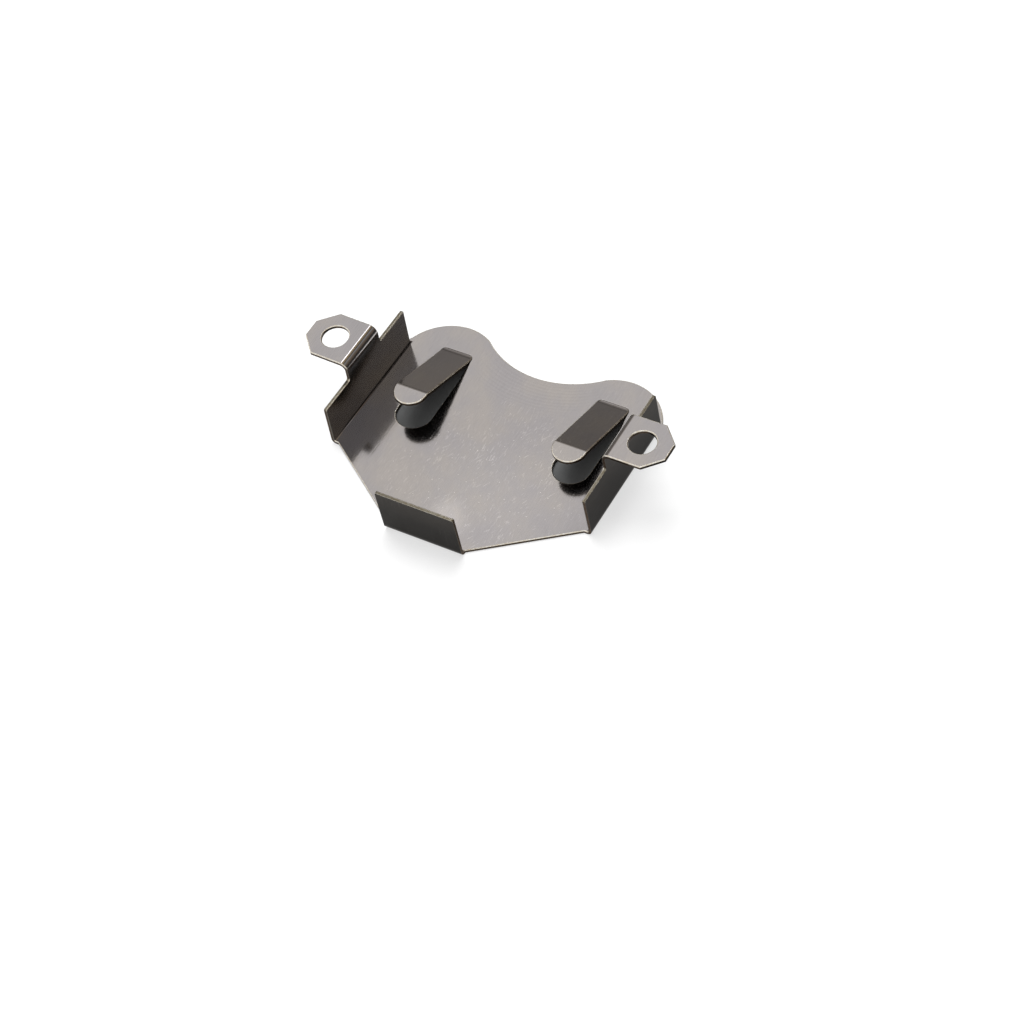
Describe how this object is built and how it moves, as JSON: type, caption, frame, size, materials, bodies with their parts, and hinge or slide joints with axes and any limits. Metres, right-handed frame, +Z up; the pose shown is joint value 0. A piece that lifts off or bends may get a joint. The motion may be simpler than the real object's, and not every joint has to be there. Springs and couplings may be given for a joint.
{
  "type": "coin cell holder",
  "caption": "Folded spring-sheet coin cell retainer: plate with a scooped back edge, front stop, side walls, outward lugs with screw holes and lanced spring fingers.",
  "frame": {"origin": "centre of the footprint on the underside of the plate, which the part lies on", "axes": "+X across the two lugs, +Y from the front stop to the scooped back edge, +Z up from the plate to the lugs"},
  "size_m": [0.0286, 0.0178, 0.0052],
  "materials": {
    "plated_sheet": "bright nickel-plated thin spring steel"
  },
  "bodies": {
    "root": {"retainer": "plated_sheet"}
  },
  "joints": []
}
